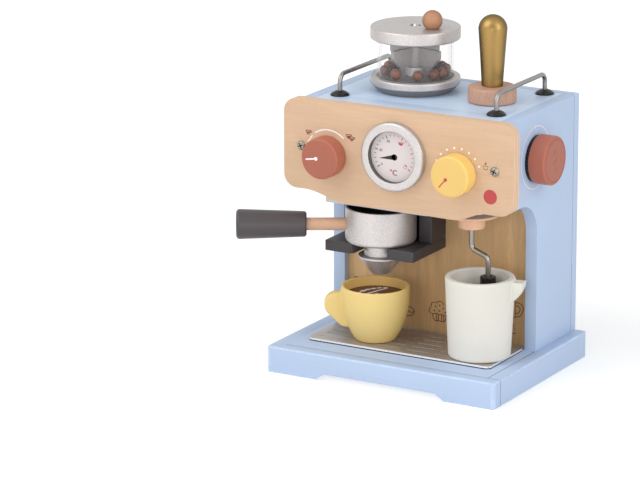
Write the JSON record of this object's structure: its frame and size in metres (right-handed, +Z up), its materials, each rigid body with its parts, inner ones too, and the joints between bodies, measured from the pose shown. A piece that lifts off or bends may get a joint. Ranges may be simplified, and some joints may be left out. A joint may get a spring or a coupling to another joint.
{
  "type": "toy coffee machine",
  "caption": "Wooden play coffee machine: cabinet with gauge and turning knobs, bean hopper with turning lid, slide-in filter holder, swinging frother, tamper, cup and jug.",
  "frame": {"origin": "on the table, under the middle of the base's back board", "axes": "+X to the machine's right as seen from the front, +Y to the back, +Z up"},
  "size_m": [0.2908, 0.1974, 0.3389],
  "materials": {
    "blue_paint": "matt light blue paint on wood",
    "blue_top": "matt pale blue paint on wood",
    "birch_ply": "clear satin lacquer on birch plywood",
    "bay_wood": "plain wood fibre panel",
    "beech": "oiled beech",
    "ball_wood": "oiled wood",
    "bean_paint": "brown stained wood",
    "silver_paint": "speckled silver paint on wood",
    "silver_dark": "speckled grey paint on wood",
    "dial_white": "printed matt white",
    "terracotta": "matt terracotta paint on wood",
    "yellow": "matt yellow paint on wood",
    "cup_yellow": "matt yellow paint on wood",
    "fork_black": "matt charcoal paint on wood",
    "grip_dark": "matt warm grey paint on wood",
    "gold_paint": "gold metallic paint on wood",
    "jug_white": "matt off-white paint on wood",
    "coffee_brown": "printed brown",
    "steel": "satin",
    "screw_steel": "polished",
    "black_rubber": "matt black",
    "lip_grey": "matt light grey paint on wood",
    "clear_jar": "clear"
  },
  "bodies": {
    "machine": {"base_front": "blue_paint", "base_back": "blue_paint", "base_left": "blue_paint", "base_right": "blue_paint", "base_deck": "blue_paint", "left_wall": "blue_paint", "right_wall": "blue_paint", "back_board": "blue_paint", "top_board": "blue_top", "head_floor": "blue_paint", "head_lip": "lip_grey", "bay_panel": "bay_wood", "front_panel": "birch_ply", "panel_screws": "screw_steel", "gauge_ring": "silver_paint", "gauge_dial": "dial_white", "drip_tray": "silver_paint", "fork_plate": "fork_black", "fork_block": "fork_black", "left_rail": "steel", "right_rail": "steel", "rail_grommets": "black_rubber", "hopper_foot": "silver_paint", "hopper_jar": "clear_jar", "bean_beads": "bean_paint", "side_washer": "black_rubber"},
    "left_knob_turn": {"left_knob": "terracotta", "left_axle": "beech"},
    "right_knob_turn": {"right_knob": "yellow", "right_axle": "beech"},
    "side_knob_turn": {"side_knob": "terracotta", "side_axle": "beech"},
    "grinder": {"hopper_lid": "silver_paint", "lid_ball": "ball_wood", "lid_bolt": "screw_steel", "grinder_shaft": "silver_paint", "grinder_paddles": "silver_dark"},
    "filter_holder": {"filter_basket": "silver_paint", "filter_spout": "silver_paint", "filter_rod": "beech", "filter_grip": "grip_dark"},
    "frother": {"frother_flange": "beech", "frother_wand": "steel", "frother_tip": "black_rubber", "frother_nut": "black_rubber"},
    "tamper": {"tamper_foot": "beech", "tamper_grasp": "gold_paint"},
    "cup_set": {"cup": "cup_yellow", "coffee": "coffee_brown"},
    "jug_body": {"jug": "jug_white"}
  },
  "joints": [
    {"name": "left_knob_spin", "type": "hinge", "parent": "machine", "child": "left_knob_turn", "pos_m": [-0.0726, -0.1519, 0.2079], "axis": [0, -1, 0], "continuous": true},
    {"name": "right_knob_spin", "type": "hinge", "parent": "machine", "child": "right_knob_turn", "pos_m": [0.063, -0.1519, 0.2079], "axis": [0, -1, 0], "continuous": true},
    {"name": "side_knob_spin", "type": "hinge", "parent": "machine", "child": "side_knob_turn", "pos_m": [0.1085, -0.0845, 0.213], "axis": [1, 0, 0], "continuous": true},
    {"name": "grinder_spin", "type": "hinge", "parent": "machine", "child": "grinder", "pos_m": [-0.0322, -0.0574, 0.2706], "axis": [0, 0, 1], "continuous": true},
    {"name": "filter_slide", "type": "slide", "parent": "machine", "child": "filter_holder", "axis": [0, -1, 0], "range_m": [0, 0.09]},
    {"name": "frother_swing", "type": "hinge", "parent": "machine", "child": "frother", "pos_m": [0.054, -0.1055, 0.17], "axis": [0, 0, 1], "range_deg": [-80, 5]},
    {"name": "tamper_lift", "type": "slide", "parent": "machine", "child": "tamper", "axis": [0, 0, 1], "range_m": [0, 0.06]},
    {"name": "cup_slide", "type": "slide", "parent": "machine", "child": "cup_set", "axis": [0, -1, 0], "range_m": [0, 0.06]},
    {"name": "jug_lift", "type": "slide", "parent": "machine", "child": "jug_body", "axis": [0, 0, 1], "range_m": [0, 0.02]}
  ]
}
